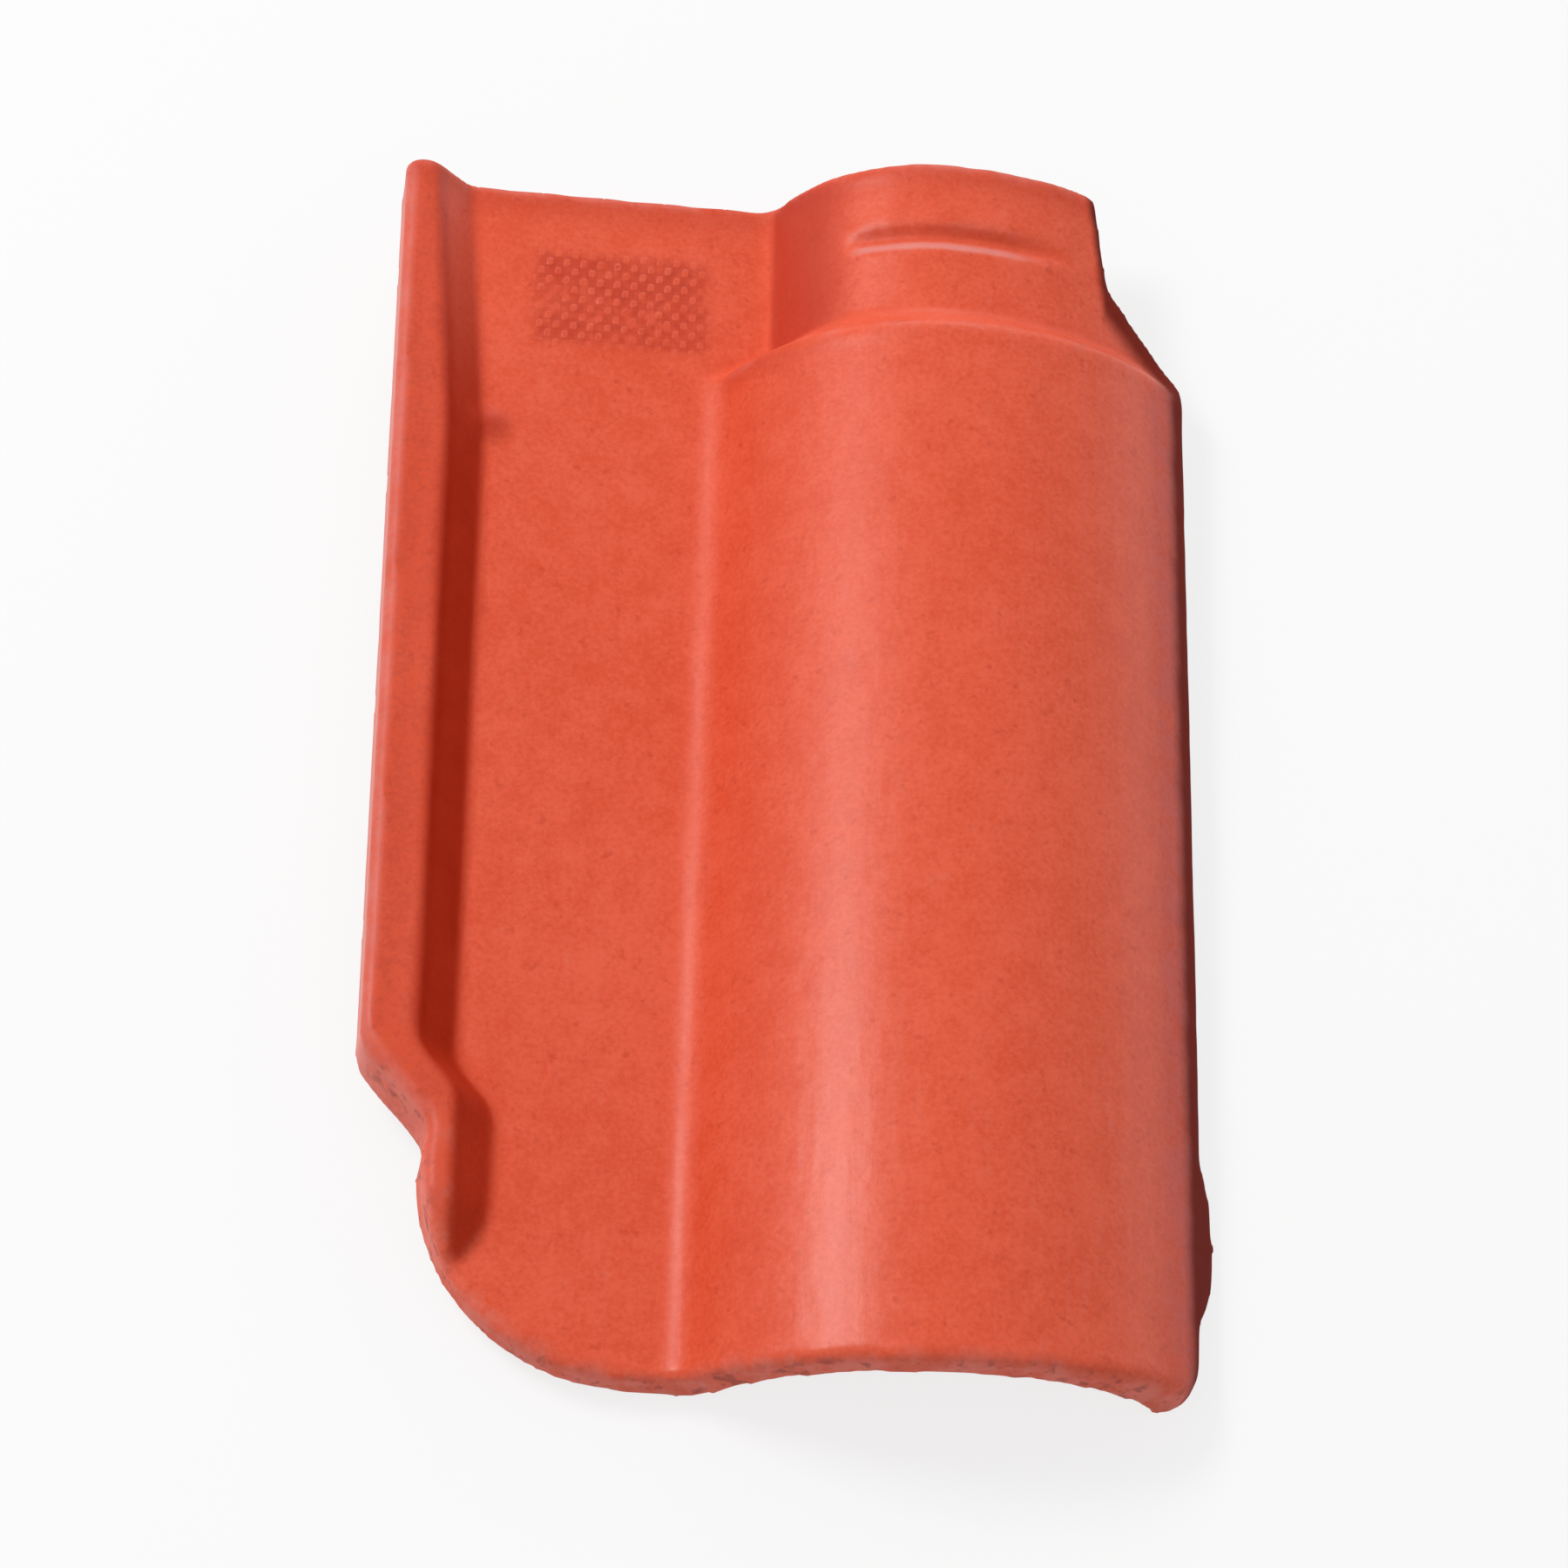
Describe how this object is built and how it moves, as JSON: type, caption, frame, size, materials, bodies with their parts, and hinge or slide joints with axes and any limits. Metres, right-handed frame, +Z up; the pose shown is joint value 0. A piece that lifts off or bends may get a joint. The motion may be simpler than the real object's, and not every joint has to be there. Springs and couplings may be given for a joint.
{
  "type": "clay roof tile",
  "caption": "Fired-clay interlocking roof tile: flat pan beside a barrel cover, with a stepped neck at the head, a jogged side rib and a batten nib.",
  "frame": {"origin": "middle of the tile's footprint, on the floor that it lies on", "axes": "+Y along the tile towards the head, +X across from the pan to the cover, +Z up"},
  "size_m": [0.244, 0.401, 0.055],
  "materials": {
    "fired_clay": "satin"
  },
  "bodies": {
    "root": {"clay_roof_tile": "fired_clay"}
  },
  "joints": []
}
